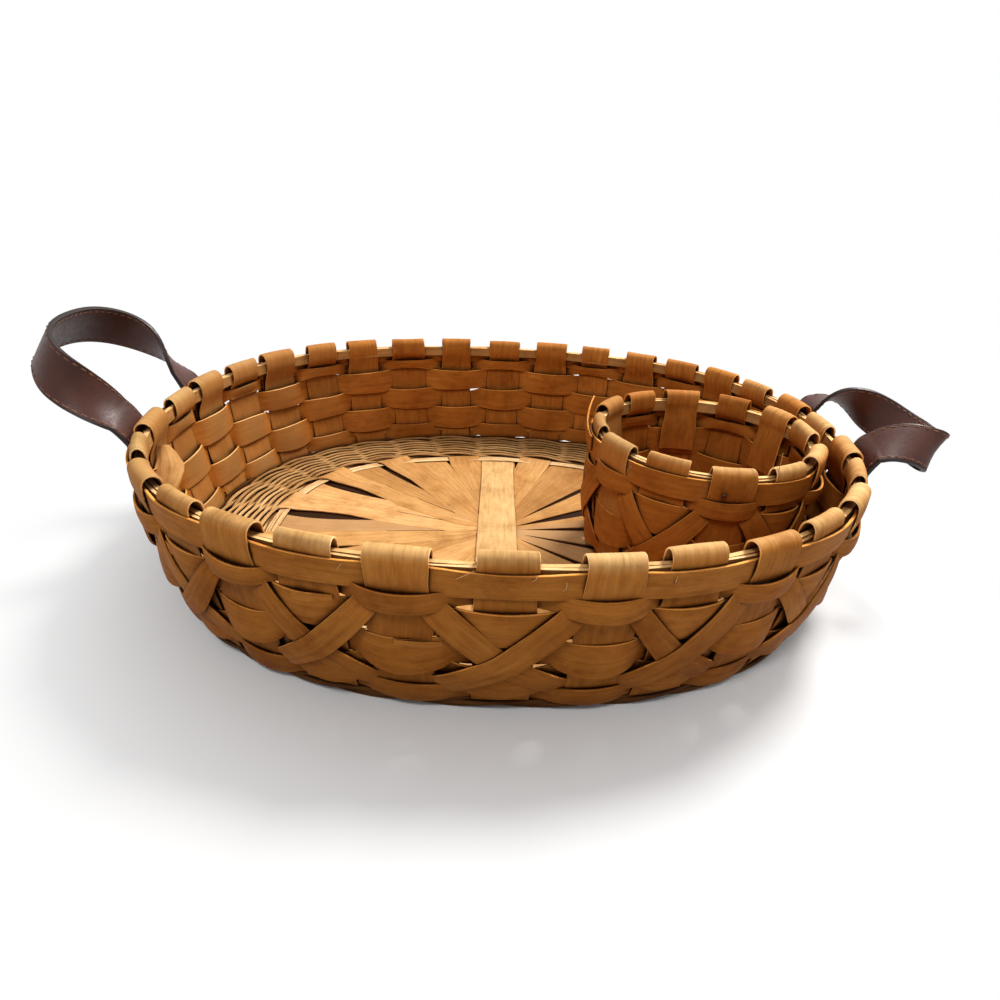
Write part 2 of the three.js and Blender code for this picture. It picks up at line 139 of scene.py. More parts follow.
class Wall:
    """The wall of a basket as a surface: distance round the rim, distance out, height."""

    def __init__(self, half_x, half_y, power, height, inset, shifts, place=(0, 0), base=0.0):
        t = np.linspace(-np.pi / 2, 1.5 * np.pi, 2881)
        c, s = np.cos(t), np.sin(t)
        x = half_x * np.sign(c) * np.abs(c) ** (2 / power)
        y = half_y * np.sign(s) * np.abs(s) ** (2 / power)
        self.run = np.r_[0, np.cumsum(np.hypot(np.diff(x), np.diff(y)))]
        self.x, self.y = x, y
        self.half_x, self.half_y, self.power = half_x, half_y, power
        self.height, self.inset, self.stakes = height, inset, len(shifts)
        self.place, self.base = place, base
        self.shifts = np.array(shifts) * MM
        self.length = self.run[-1]
        self.pitch = self.length / self.stakes

    def lean(self, z):
        """How far in the wall stands at a height."""
        return self.inset * np.clip(1 - z / self.height, 0, None) ** 2

    def uneven(self, s):
        """Distance round the rim with the stakes' uneven spacing."""
        k = np.asarray(s) / self.pitch
        i = np.floor(k).astype(int)
        a, b = self.shifts[i % self.stakes], self.shifts[(i + 1) % self.stakes]
        return s + a + (b - a) * smooth(k - i)

    def at(self, s, out, z, lean=None, even=False):
        """Points of the surface; even says that s is already the distance round the rim."""
        s, out, z = np.broadcast_arrays(s, out, z)
        s = np.mod(s if even else self.uneven(s), self.length)
        x, y = np.interp(s, self.run, self.x), np.interp(s, self.run, self.y)
        p = self.power - 1
        nx = np.sign(x) * np.abs(x / self.half_x) ** p / self.half_x
        ny = np.sign(y) * np.abs(y / self.half_y) ** p / self.half_y
        size = np.hypot(nx, ny)
        d = out - (self.lean(z) if lean is None else lean)
        x, y = x + nx / size * d + self.place[0], y + ny / size * d + self.place[1]
        return np.stack([x, y, z + self.base], -1)


class Strips:
    """Gathers closed strips and tubes into one mesh with grain coordinates."""

    SHARP = math.radians(28)
    GRAIN_SHIFT = 40

    def __init__(self):
        self.points, self.faces, self.uv = [], [], []
        self.tone, self.edge, self.grey, self.count = [], [], [], 0

    def add(self, rings, along, across, edge, closed=False, tone=None, grey=0.0):
        """rings[i, j] are the corners of section i; along and across are grain coordinates."""
        n, m = rings.shape[:2]
        start = self.count
        self.count += n * m
        self.points.append(rings.reshape(-1, 3))
        tone = any_tone() if tone is None else tone
        self.tone.append(np.repeat(np.broadcast_to(tone, n), m))
        self.edge.append(np.tile(edge, n))
        self.grey.append(np.repeat(np.broadcast_to(grey, n), m))
        shift_u, shift_v = rng.uniform(0, self.GRAIN_SHIFT, 2)
        i = np.arange(n if closed else n - 1)[:, None]
        j = np.arange(m)[None, :]
        i2, j2 = (i + 1) % n, (j + 1) % m
        corners = (i * m + j, i2 * m + j, i2 * m + j2, i * m + j2)
        quads = np.stack(np.broadcast_arrays(*corners), -1).reshape(-1, 4)
        u0, u1 = along[:-1][: len(i), None], along[1:][: len(i), None]
        u = np.stack(np.broadcast_arrays(u0, u1, u1, u0 + 0 * j), -1)
        v = np.broadcast_to(np.stack([across[k] for k in (j, j, j2, j2)], -1), u.shape)
        uv = np.stack([u + shift_u, v + shift_v], -1).reshape(-1, 4, 2)
        flat = rings.reshape(-1, 3)
        a, b, c, d = (flat[quads[:, k]] for k in range(4))
        volume = np.einsum("ij,ij->", a, np.cross(b, c) + np.cross(c, d))
        faces = [list(q) for q in quads + start]
        uvs = [list(map(tuple, w)) for w in uv]
        if not closed:
            for ring, turn, place in ((0, 1, along[0]), (n - 1, -1, along[-1])):
                faces.append([start + ring * m + k for k in range(m)][::turn])
                uvs.append([(place + shift_u, across[k] + shift_v) for k in range(m)][::turn])
        if volume < 0:
            faces = [f[::-1] for f in faces]
            uvs = [w[::-1] for w in uvs]
        self.faces += faces
        self.uv += uvs

    def build(self, name, material):
        """The mesh object, with its grain map and the values that the materials read."""
        mesh = bpy.data.meshes.new(name)
        mesh.from_pydata(np.concatenate(self.points).tolist(), [], self.faces)
        layer = mesh.uv_layers.new(name="grain")
        flat = np.array([c for w in self.uv for c in w], np.float32)
        layer.data.foreach_set("uv", flat.ravel())
        for key, values in (("tone", self.tone), ("edge", self.edge), ("grey", self.grey)):
            made = mesh.attributes.new(key, "FLOAT", "POINT")
            made.data.foreach_set("value", np.concatenate(values).astype(np.float32))
        mesh.polygons.foreach_set("use_smooth", np.ones(len(mesh.polygons), bool))
        mesh.update()
        mesh.set_sharp_from_angle(angle=self.SHARP)
        mesh.materials.append(material)
        made = bpy.data.objects.new(name, mesh)
        bpy.context.scene.collection.objects.link(made)
        return made


# Materials


class Nodes:
    """Short names for building the nodes of a material or a world."""

    def __init__(self, owner, shader="Principled BSDF"):
        owner.use_nodes = True
        self.owner, self.tree = owner, owner.node_tree
        self.shader = self.tree.nodes[shader]

    def link(self, value, socket):
        """Links an output to an input, or sets a plain value."""
        if isinstance(value, bpy.types.NodeSocket):
            self.tree.links.new(value, socket)
        else:
            socket.default_value = value

    def node(self, kind, *values, **settings):
        """A node with its first inputs in order, and settings and other inputs by name."""
        made = self.tree.nodes.new(kind)
        for key, value in settings.items():
            if key in made.inputs:
                made.inputs[key].default_value = value
            else:
                setattr(made, key, value)
        for value, socket in zip(values, made.inputs):
            self.link(value, socket)
        return made

    def set(self, **values):
        """Inputs of the shader; an underscore stands for a space."""
        for key, value in values.items():
            self.link(value, self.shader.inputs[key.replace("_", " ")])

    def place(self):
        return self.node("ShaderNodeTexCoord").outputs["Object"]

    def noise(self, vector, scale, detail=4, rough=0.55, distortion=0.0):
        stretch = self.node("ShaderNodeVectorMath", vector, scale, operation="MULTIPLY").outputs[0]
        made = self.node("ShaderNodeTexNoise", stretch, Scale=1.0, Detail=detail, Roughness=rough)
        made.inputs["Distortion"].default_value = distortion
        return made.outputs["Fac"]

    def ramp(self, value, *stops):
        """A colour ramp through stops of place and colour, in order."""
        made = self.node("ShaderNodeValToRGB", value)
        elements = made.color_ramp.elements
        for stop, (place, colour) in zip(elements, (stops[0], stops[-1])):
            stop.position, stop.color = place, (*colour, 1)
        for place, colour in stops[1:-1]:
            elements.new(place).color = (*colour, 1)
        return made.outputs[0]

    def mix(self, share, a, b, mode="MIX"):
        made = self.node("ShaderNodeMix", share, data_type="RGBA", blend_type=mode)
        for value, socket in ((a, made.inputs[6]), (b, made.inputs[7])):
            self.link((*value, 1) if isinstance(value, tuple) else value, socket)
        return made.outputs[2]

    def times(self, colour, factor, share=1.0):
        return self.mix(share, colour, factor, "MULTIPLY")

    def range(self, *values):
        """A value mapped from one range to another."""
        return self.node("ShaderNodeMapRange", *values).outputs[0]

    def attribute(self, name):
        return self.node("ShaderNodeAttribute", attribute_name=name).outputs["Fac"]

    def bump(self, strength, height):
        """Fine relief."""
        made = self.node("ShaderNodeBump", Strength=strength, Distance=0.0003)
        self.link(height, made.inputs["Height"])
        self.set(Normal=made.outputs[0])

    def seen(self):
        """1 for rays that see the background: camera, mirror and glass rays."""
        path = self.node("ShaderNodeLightPath").outputs
        total = path["Is Camera Ray"]
        for name in ("Is Glossy Ray", "Is Transmission Ray"):
            total = self.node("ShaderNodeMath", total, path[name], operation="MAXIMUM").outputs[0]
        return total


ONE = (1.0, 1.0, 1.0)
# The tone of a strip: 0.5 is the wood as it is, 1 is worn pale with some painted light, and MOST_WORN_AND_LIT
# is a fold's crest, worn pale under a painted highlight
MOST_WORN_AND_LIT = 1.5
WOOD_ROUGHNESS = 0.6
PAINTED_SHADE_REACH = 0.0045


def wood(name, colour, red, spread=0.2, edge_gain=2.0, painted_crevice_shade=0.09, greying_and_sheen=(0.10, 0.075, 0.06)):
    """Splint wood: soft grain along the strip, fine fibre, blotches and wear; a painted highlight on fold
    tops, edges painted pale partly as raw wood and partly as a painted highlight, and painted shade in
    crevices.
    """
    n = Nodes(bpy.data.materials.new(name))
    uv = n.node("ShaderNodeUVMap", uv_map="grain").outputs[0]
    grain = n.noise(uv, (14, 420, 1), 5, 0.6, 0.5)
    fibre = n.noise(uv, (50, 3000, 1), 3, 0.6)
    blotch = n.noise(uv, (26, 60, 1), 4, 0.55, 0.8)
    stain = n.noise(n.place(), (40, 40, 40), 5, 0.66)
    mottle = n.noise(uv, (60, 330, 1), 5, 0.7)
    speck = n.noise(uv, (420, 1500, 1), 2, 0.5)
    warm = (spread, 1.25 * spread, 1.6 * spread)
    deep = tuple(c * (1 - w) for c, w in zip(colour, warm))
    light = tuple(c * (1 + w) for c, w in zip(colour, warm))
    made = n.ramp(grain, (0.25, deep), (0.75, light))
    made = n.mix(n.range(blotch, 0.38, 0.72, 0.0, 0.7), made, red)
    made = n.times(made, n.ramp(fibre, (0.3, (0.90, 0.88, 0.85)), (0.7, (1.05, 1.06, 1.08))))
    made = n.times(made, n.ramp(stain, (0.30, (0.72, 0.65, 0.56)), (0.48, ONE), (0.68, (1.15, 1.19, 1.26))))
    dabs = n.ramp(mottle, (0.30, (0.66, 0.60, 0.52)), (0.5, ONE), (0.72, (1.2, 1.24, 1.3)))
    made = n.times(made, dabs, 0.7)
    made = n.times(made, n.ramp(speck, (0.27, (0.55, 0.48, 0.42)), (0.36, ONE)), 0.45)
    tone = n.range(n.attribute("tone"), 0.0, MOST_WORN_AND_LIT, 0.0, 1.0)
    # Colours for a fold's wear and for the painted highlight on its crest
    worn_and_lit, bare_and_highlit = (1.38, 1.52, 1.9), (1.9, 3.5, 9.5)
    made = n.times(made, n.ramp(tone, (0.0, (0.60, 0.53, 0.45)), (1 / 3, ONE), (2 / 3, worn_and_lit), (1.0, bare_and_highlit)))
    # The grey mix: real greying on the floor's greyed fingers, painted light and sheen on the splints at the
    # left end
    dull = tuple(0.55 * c + g for c, g in zip(colour, greying_and_sheen))
    made = n.mix(n.attribute("grey"), made, dull)
    # Edges paler: partly the raw wood of the splint's sides, partly a painted highlight where they catch the
    # light
    edge_pale_and_highlit = (edge_gain, edge_gain**1.25, edge_gain**1.6)
    made = n.times(made, n.ramp(n.attribute("edge"), (0.975, ONE), (1.0, edge_pale_and_highlit)))
    # Painted shade: darker where other strips lie close, in crevices and between overlapping parts
    crevice = n.node("ShaderNodeAmbientOcclusion", samples=8, Distance=PAINTED_SHADE_REACH)
    dark = tuple(painted_crevice_shade * c for c in (1.0, 0.72, 0.5))
    made = n.times(made, n.ramp(crevice.outputs["AO"], (0.45, dark), (0.94, ONE)))
    rough = n.range(grain, 0.3, 0.7, WOOD_ROUGHNESS + 0.1, WOOD_ROUGHNESS - 0.08)
    n.set(Base_Color=made, Roughness=rough, Specular_IOR_Level=0.08)
    n.bump(0.4, n.mix(0.5, grain, fibre))
    return n.owner


def leather(name, base, lighter, rough):
    """Smooth strap leather with fine creases and dark burnished edges."""
    n = Nodes(bpy.data.materials.new(name))
    where = n.place()
    broad = n.noise(where, (45, 45, 45), 4, 0.6)
    pores = n.node("ShaderNodeTexVoronoi", where, Scale=1500.0, feature="F1")
    crease = n.noise(where, (420, 420, 420), 4, 0.65)
    colour = n.mix(n.range(broad, 0.35, 0.7, 0.0, 1.0), base, lighter)
    colour = n.times(colour, n.ramp(n.attribute("edge"), (0.6, ONE), (0.95, (0.2, 0.16, 0.14))))
    rough = n.range(crease, 0.3, 0.7, rough + 0.12, rough - 0.05)
    n.set(Base_Color=colour, Roughness=rough, Specular_IOR_Level=0.3)
    n.bump(0.2, n.mix(0.5, crease, pores.outputs["Distance"]))
    return n.owner


def plain(name, colour, rough, metallic=0.0):
    """A small-part material with slight mottling."""
    n = Nodes(bpy.data.materials.new(name))
    mottle = n.noise(n.place(), (900, 900, 900), 3)
    darker = tuple(0.7 * c for c in colour)
    made = n.mix(n.range(mottle, 0.3, 0.7, 0.0, 1.0), colour, darker)
    n.set(Base_Color=made, Roughness=rough, Metallic=metallic)
    return n.owner


# The splint's grey mix stands for painted light and sheen at the left end inside
SPLINT_WOOD = wood("splint", (0.415, 0.143, 0.0215), (0.375, 0.112, 0.014), 0.14, greying_and_sheen=(0.16, 0.137, 0.062))
LATH_WOOD = wood("lath", (0.50, 0.26, 0.085), (0.46, 0.22, 0.065), 0.14, 1.9, 0.5)
PALE_WOOD = wood("pale_splint", (0.66, 0.39, 0.150), (0.60, 0.33, 0.11), 0.12, 1.1)
FLOOR_WOOD = wood("floor_splint", (0.66, 0.350, 0.120), (0.59, 0.265, 0.073), 0.14, 1.1, 0.35)
UNDER_WOOD = wood("under_splint", (0.60, 0.310, 0.105), (0.54, 0.240, 0.066), 0.14, 1.1, 1.0)
# Painted shade: near-black wood for the sheets that stand for shade under the slits and round the floor's
# edge
DARK_WOOD = wood("shaded_splint", (0.030, 0.012, 0.004), (0.03, 0.010, 0.003), 0.3, 1.0, 1.0)
STRAND_WOOD = wood("strand", (0.72, 0.43, 0.175), (0.58, 0.29, 0.09), 0.3, 1.1)
# Painted shade: the dark strands and ring at the foot of the wall
CORNER_WOOD = wood("corner_strand", (0.13, 0.048, 0.011), (0.10, 0.034, 0.007), 0.3, 1.1)
LEATHER = leather("leather", (0.052, 0.0138, 0.0080), (0.092, 0.0258, 0.0155), 0.40)
THREAD = plain("thread", (0.24, 0.105, 0.055), 0.8)
TACK = plain("tack", (0.10, 0.042, 0.014), 0.55, 0.3)


# Weaving

# The left end, as a share of the way round, and the reach of the painted light and sheen that make its
# splints paler and greyer inside
LEFT_END, PAINTED_LIGHT_REACH = 0.75, 0.13


def left_end(wall, s):
    """How near a place round the wall is to its left end, where the splints inside are painted paler and
    greyer as painted light and sheen.
    """
    return smooth(1.4 - np.abs(s / wall.length % 1 - LEFT_END) / PAINTED_LIGHT_REACH)


def row(strips, wall, low, high, outer, inner, over_odd, thick, jitter=0.5 * MM, section=SECTION, sag=0.0,
        swell=0.0, flare=0.0, lean_in=0.0, swell_in=0.0, crown=0.0, tone=None):
    """A weaver round the wall: out at one set of stakes, in at the other."""
    per_stake = 14
    count = wall.stakes * per_stake
    seam = wall.stakes // 2 - (1 if over_odd else 0)
    s = (seam + np.arange(count) / per_stake) * wall.pitch
    wave = np.cos(np.pi * s / wall.pitch) * (-1 if over_odd else 1)
    wave = np.sign(wave) * np.abs(wave) ** 0.7
    out = (outer + inner) / 2 + (outer - inner) / 2 * wave
    out = out + ring_wobble(count, jitter * 0.5)
    bulge, dent = np.clip(wave, 0, 1), np.clip(-wave, 0, 1)
    middle = (low + high) / 2 - sag * bulge - swell_in * dent + ring_wobble(count, jitter * 1.2, 14)
    half = (high - low) / 2 + swell * bulge + swell_in * dent + ring_wobble(count, jitter * 0.7, 11)
    tilt = -flare * bulge - lean_in * dent + ring_wobble(count, jitter * 0.5, 10)
    a, b = section.T[:, None, :]
    round_out = crown * (bulge - dent)[:, None] * (1 - a * a)
    o = out[:, None] + b * thick / 2 + tilt[:, None] * a + round_out
    z = middle[:, None] + a * half[:, None]
    rings = wall.at(s[:, None], o, z)
    along = np.r_[s, s[0] + wall.length]
    # Painted light and sheen: paler and greyer inside at the left end
    pale = dent * left_end(wall, s)
    tone = (any_tone() if tone is None else tone) + 0.3 * pale
    edge = np.abs(a[0]) + (np.abs(a[0]) > 0.98)
    across = section[:, 0] * (high - low) / 2
    strips.add(rings, along, across, edge, closed=True, tone=tone, grey=0.7 * pale)


def fold_path(points, count):
    """A smooth path through points, evenly spaced, and the distance along it."""
    p = np.array(points)
    q = np.vstack([2 * p[0] - p[1], p, 2 * p[-1] - p[-2]])
    fine = []
    for i in range(1, len(q) - 2):
        t = np.linspace(0, 1, 24, endpoint=False)[:, None]
        a, b, c, d = q[i - 1], q[i], q[i + 1], q[i + 2]
        cubic = 2 * b + (c - a) * t + (2 * a - 5 * b + 4 * c - d) * t**2
        fine.append(0.5 * (cubic + (3 * b - a - 3 * c + d) * t**3))
    fine = np.vstack([*fine, p[-1:]])
    run = np.r_[0, np.cumsum(np.linalg.norm(np.diff(fine, axis=0), axis=1))]
    want = np.linspace(0, run[-1], count)
    return np.stack([np.interp(want, run, fine[:, k]) for k in range(p.shape[1])], 1), want


def unit(vectors):
    """Directions of length 1."""
    return vectors / np.linalg.norm(vectors, axis=1, keepdims=True)


# Height of a fold's arch, and the angles of its points
ARCH = 4.8 * MM
ARCH_ANGLES = (20, 50, 75, 100, 128, 158)
# Points along a stake with a long or a short tail
LONG_POINTS, SHORT_POINTS = 104, 98


def stake_points(top, foot, foot_z, tail, odd):
    """Where a stake runs: how far out and how high, from its foot to the end of its tail."""
    peak = top - SPLINT / 2 + rng.normal(0, 0.5) * MM
    leg = 2.0 * MM if odd else 0.0
    back = -6.6 * MM + rng.normal(0, 0.3) * MM
    points = [(-foot, foot_z), (-4 * MM, foot_z), (-1.1 * MM, foot_z + 1.2 * MM), (0, foot_z + 4.5 * MM)]
    points += [(0, top * f) for f in (0.2, 0.35, 0.5, 0.62)]
    points += [(share * leg, top - drop * MM) for share, drop in ((0.15, 24), (0.6, 17), (1, 12), (1, 7))]
    middle, half = (leg + back) / 2, (leg - back) / 2
    for angle in map(math.radians, ARCH_ANGLES):
        points.append((middle + half * math.cos(angle), peak - ARCH * (1 - math.sin(angle))))
    points += [(back, top - 7.5 * MM), (back + 0.8 * MM, top - 11.5 * MM)]
    return points + [(out * MM, top - drop * MM) for out, drop in (tail if odd else SHORT_TAIL)]


def stake(strips, wall, k, width, foot, foot_z, tail):
    """A stake from its foot up the wall, over the rim laths and down inside."""
    top = wall.height
    odd = k % 2 == 1
    points = stake_points(top, foot, foot_z, tail, odd)
    path, along = fold_path(points, LONG_POINTS if odd else SHORT_POINTS)
    out, height = path.T
    run = unit(np.gradient(path, axis=0))
    side = np.stack([-run[:, 1], run[:, 0]], 1)
    count = len(path)
    place = wall.uneven(k * wall.pitch)
    shift = rng.normal(0, 0.4) * MM + rng.normal(0, 0.012) * (height - top / 2)
    shift = shift + wobble(count, 0.2 * MM, 12)
    half_width = width / 2 + rng.normal(0, 0.4) * MM + wobble(count, 0.25 * MM, 8)
    half_width = half_width - 0.9 * MM * smooth((height - top + 26 * MM) / (12 * MM))
    cup = rng.normal(0, 0.2) * MM
    lift = THROUGH * SPLINT / 2 + cup * (1 - ACROSS * ACROSS)
    s = place + shift[:, None] + ACROSS * half_width[:, None]
    o = out[:, None] + lift * side[:, :1]
    z = height[:, None] + lift * side[:, 1:]
    # Worn pale over the fold, with a painted highlight on its crest; both are painted stronger at the front
    # of the rim and weaker at the far side, as painted light
    past = along - along[np.argmax(height)]
    fold = smooth((height - top + 21 * MM) / (8 * MM)) * (1 - smooth((past - 5 * MM) / (16 * MM)))
    worn_and_lit = 0.2 + 0.8 * smooth(1 + math.cos(2 * math.pi * place / wall.length))
    crest_highlight = np.exp(-((past / np.where(past > 0, 8 * MM, 5 * MM)) ** 2))
    tone = rng.uniform(0.28, 0.6) + rng.uniform(0.3, 0.5) * (0.55 + 0.45 * worn_and_lit) * fold
    tone = np.minimum(tone, 1.0) + 0.5 * worn_and_lit * crest_highlight
    # Painted light and sheen: paler and greyer inside at the left end
    pale = left_end(wall, place) * (0.35 + 0.2 * smooth((past + 5 * MM) / (5 * MM)))
    strips.add(wall.at(s, o, z, even=True), along, ACROSS * width / 2, EDGES, tone=tone, grey=pale)


# Points of a crossing arm: places along the wall for a pitch of ARM_PITCH, shares of the way from the low
# end to the crossing and from there to the high end, and how far out, for rising and falling arms
ARM_PITCH = 34.7
ARM_PLACES = (-24.6, -20.5, -14, 0, 10, 18, 23.5)
ARM_LOWER, ARM_UPPER = (0.1, 0.38), (0.42, 0.8, 1.06)
ARM_OUTS = {True: (-0.2, 1.0, 3.2, 4.7, 4.2, 2.8, 0.6), False: (-0.2, 0.8, 2.2, 3.3, 3.3, 2.3, 0.6)}
ARM_POINTS = 44


def arm(strips, wall, k, rising, low, cross, high, width):
    """One arm of the X outside a stake: from behind the next stake's edge up to the top row."""
    way = 1 if rising else -1
    scale = wall.pitch / ARM_PITCH
    heights = [low, *(low + share * (cross - low) for share in ARM_LOWER), cross]
    heights += [cross + share * (high - cross) for share in ARM_UPPER]
    knots = [(way * x * scale, z, o * MM) for x, z, o in zip(ARM_PLACES, heights, ARM_OUTS[rising])]
    path, along = fold_path(knots, ARM_POINTS)
    s, z, o = path.T
    s = s + k * wall.pitch
    z = z + rng.normal(0, 0.5) * MM + wobble(ARM_POINTS, 0.3 * MM, 12)
    ds, dz = np.gradient(s), np.gradient(z)
    size = np.hypot(ds, dz)
    t = np.linspace(-1, 1, ARM_POINTS)
    half = width / 2 * (1 - 0.16 * t**2) + wobble(ARM_POINTS, 0.25 * MM, 10)
    ss = s[:, None] - ACROSS * half[:, None] * (dz / size)[:, None]
    zz = z[:, None] + ACROSS * half[:, None] * (ds / size)[:, None]
    thin = 1 - 0.7 * smooth((np.abs(t) - 0.8) / 0.2)[:, None]
    oo = o[:, None] + (THROUGH * 0.6 * MM + 0.3 * MM * (1 - ACROSS * ACROSS)) * thin
    strips.add(wall.at(ss, oo, zz), along, ACROSS * width / 2, EDGES)


def flat_end(strips, wall, stops, low, high, outs):
    """A short loose end of a weaver lying on the wall between two places, in stakes."""
    t = np.linspace(0, 1, 14)
    s = (stops[0] + (stops[1] - stops[0]) * t) * wall.pitch
    o = np.interp(t, np.linspace(0, 1, len(outs)), outs) * MM
    z = (low + high) / 2 + ACROSS * (high - low) / 2
    rings = wall.at(s[:, None], o[:, None] + THROUGH * 0.4 * MM, z)
    strips.add(rings, s, ACROSS * (high - low) / 2, EDGES, tone=0.9)


def tube(strips, centre, side, up, wide, tall, closed, tone=None):
    """A fine flattened strand along points, with its across and up directions."""
    angle = np.linspace(0, 2 * np.pi, 8, endpoint=False)
    rings = centre[:, None] + side[:, None] * (wide / 2 * np.cos(angle))[None, :, None]
    rings = rings + up[:, None] * (tall / 2 * np.sin(angle))[None, :, None]
    steps = np.linalg.norm(np.diff(np.vstack([centre, centre[:1]]), axis=0), axis=1)
    along = np.r_[0, np.cumsum(steps)]
    along = along if closed else along[:-1]
    strips.add(rings, along, np.cos(angle) * wide / 2, np.abs(np.cos(angle)) * 0.6, closed, tone)


def strand(strips, wall, out, z, wide, tall, tone=None):
    """A closed strand lying round the floor's edge."""
    count = len(out)
    s = np.arange(count) * wall.length / count
    centre = wall.at(s, out, z, BASE_LEAN)
    outward = unit(wall.at(s, out + 1 * MM, z, BASE_LEAN) - centre)
    tube(strips, centre, outward, np.tile([0, 0, 1.0], (count, 1)), wide, tall, True, tone)


def dress(strips, name, material, body, slot, *nodes):
    """Builds a piece that rides on a body in place of CAD nodes."""
    piece = strips.build(name, material)
    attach(piece, body)
    if nodes:
        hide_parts(*nodes)


# Each row, top to bottom: how far out and in it goes, sag and extra height where it stands out,
# how its lower edge stands off outside, how its upper edge leans in inside, and its extra height
# inside, in millimetres; then how far it is taller than its solid, above and below
ROW_KEYS = ("outer", "inner", "sag", "swell", "flare", "lean_in", "swell_in")
ROWS = [
    (3.6, -3.8, 2.5, 0.3, 0.2, 1.3, -1.0),
    (2.1, -4.2, 0.6, 0.3, 0.3, 1.6, 0.7),
    (2.6, -3.3, 4.8, 0.8, 1.9, 1.6, 0.7),
    (2.2, -3.1, 3.6, 1.2, 1.0, 1.4, 0.7),
    (2.0, -2.2, 2.6, 0.2, 0.3, 0.6, 0.2),
]
TALLER = [(-0.1, 0.2), (0.8, 0.5), (1.0, 0.3), (0.9, 1.0), (1.8, 0.6)]
ROW_THICKNESS = 1.2 * MM
ROW_CROWN = 0.6 * MM
# The rim band's edges below the rim, and the laths: how far out, how thick and how far below the rim
BAND_TOP, BAND_FOOT = 7 * MM, 19 * MM
LATHS = ((-2.3 * MM, 1.7 * MM, 6.6 * MM), (-4.4 * MM, 2.3 * MM, 6.1 * MM))
LATH_HEIGHT = 6.5 * MM
ARM_WIDTH = 12.8 * MM


def weave(wall, prefix, body, rows, droop):
    """Rows, rim band, rim laths and crossing arms of one basket."""
    top = wall.height
    for i, (low, high) in enumerate(rows):
        strips = Strips()
        shape = {key: value * MM for key, value in zip(ROW_KEYS, ROWS[i])}
        shape["sag"] *= droop
        above, below = (v * MM for v in TALLER[i])
        tone = rng.uniform(0.4, 0.6) - 0.12 * (i > 2)
        row(strips, wall, low - below, high + above, thick=ROW_THICKNESS, over_odd=i % 2 == 0,
            crown=ROW_CROWN, tone=tone, **shape)
        # Two loose ends show at the front left of the big basket
        if prefix == "" and i == 2:
            flat_end(strips, wall, (30.93, 31.42), high - 6 * MM, high - 2.4 * MM, (1.6, 1.9, 1.5, 0.4))
        if prefix == "" and i == 0:
            flat_end(strips, wall, (29.84, 30.3), low - 3.4 * MM, low + 1 * MM, (2.6, 2.4, 1.6, 0.6))
        name = f"{prefix}row_{i + 1}"
        dress(strips, name + "_splint", SPLINT_WOOD, body, "splint", name)
    strips = Strips()
    row(strips, wall, top - BAND_FOOT, top - BAND_TOP, outer=1.4 * MM, inner=0.3 * MM, over_odd=False,
        thick=ROW_THICKNESS, jitter=0.4 * MM)
    if prefix:
        loose_end(strips, wall)
    dress(strips, prefix + "rim_band_splint", SPLINT_WOOD, body, "splint", prefix + "rim_band")
    strips = Strips()
    for out, thick, drop in LATHS:
        row(strips, wall, top - drop - LATH_HEIGHT, top - drop, outer=out, inner=out, over_odd=False,
            thick=thick, jitter=0.25 * MM, section=LATH)
    dress(strips, prefix + "rim_laths", LATH_WOOD, body, "pale_splint", prefix + "rim_core")
    high, low = rows[0][0] - 1.5 * MM, rows[3][0] - 0.5 * MM
    cross = (rows[1][0] + rows[3][1]) / 2 - 5 * MM * droop
    for rising, letter in ((False, "a"), (True, "b")):
        strips = Strips()
        for k in range(0, wall.stakes, 2):
            arm(strips, wall, k, rising, low, cross, high, ARM_WIDTH)
        name = f"{prefix}cross_strip_{letter}"
        dress(strips, name + "_arms", SPLINT_WOOD, body, "splint", name)


def loose_end(strips, wall):
    """The small basket's rim band ends in a point that springs up at its left."""
    t = np.linspace(0, 1, 20)
    s = (7.15 + 1.15 * t[::-1]) * wall.pitch
    z = wall.height - 12 * MM + 13 * MM * t**2.2
    o = 2.7 * MM + 3.2 * MM * t**2
    widest = 4.3 * MM
    half = widest * (1 - 0.75 * t**3)
    rings = wall.at(s[:, None], o[:, None] + THROUGH * SPLINT / 2, z[:, None] + ACROSS * half[:, None])
    strips.add(rings, s[::-1], ACROSS * widest, EDGES, tone=0.7)


def rows_between(top, foot, narrow_foot):
    """Heights of the rows, as in the part's source."""
    high = top - ROW_TOP
    narrow = 2 if narrow_foot else 1
    tall = (high - foot - narrow * NARROW_ROW - (2 + narrow) * ROW_GAP) / 3
    made = []
    for i in range(3 + narrow):
        size = NARROW_ROW if i in (0, 4) else tall
        made.append((high - size, high))
        high -= size + ROW_GAP
    return made


# How far in the stakes' feet reach, how high they lie for even and odd stakes, and where the rows begin
STAKE_FOOT, FOOT_HEIGHTS, ROWS_FROM = 10.5 * MM, (3.1 * MM, 1.8 * MM), 7.6 * MM
DIP_STAKE_FOOT, DIP_FOOT_HEIGHT, DIP_ROWS_FROM = 12 * MM, 0.8 * MM, 6.6 * MM

wall = Wall(RIM_HALF_LENGTH, RIM_HALF_WIDTH, RIM_SQUARENESS, HEIGHT, BASE_LEAN, SHIFTS)
for k in range(STAKES):
    strips = Strips()
    stake(strips, wall, k, STAKE_WIDTH, STAKE_FOOT, FOOT_HEIGHTS[k % 2], TAIL)
    name = f"stake_{k:02d}"
    dress(strips, name + "_splint", SPLINT_WOOD, "basket", "splint", name)
weave(wall, "", "basket", rows_between(HEIGHT, ROWS_FROM, True), droop=1.0)

dip_wall = Wall(DIP_RADIUS, DIP_RADIUS, 2, DIP_HEIGHT, DIP_LEAN, DIP_SHIFTS, DIP_PLACE, DIP_BASE)
strips = Strips()
for k in range(DIP_STAKES):
    stake(strips, dip_wall, k, DIP_STAKE_WIDTH, DIP_STAKE_FOOT, DIP_FOOT_HEIGHT, DIP_TAIL)
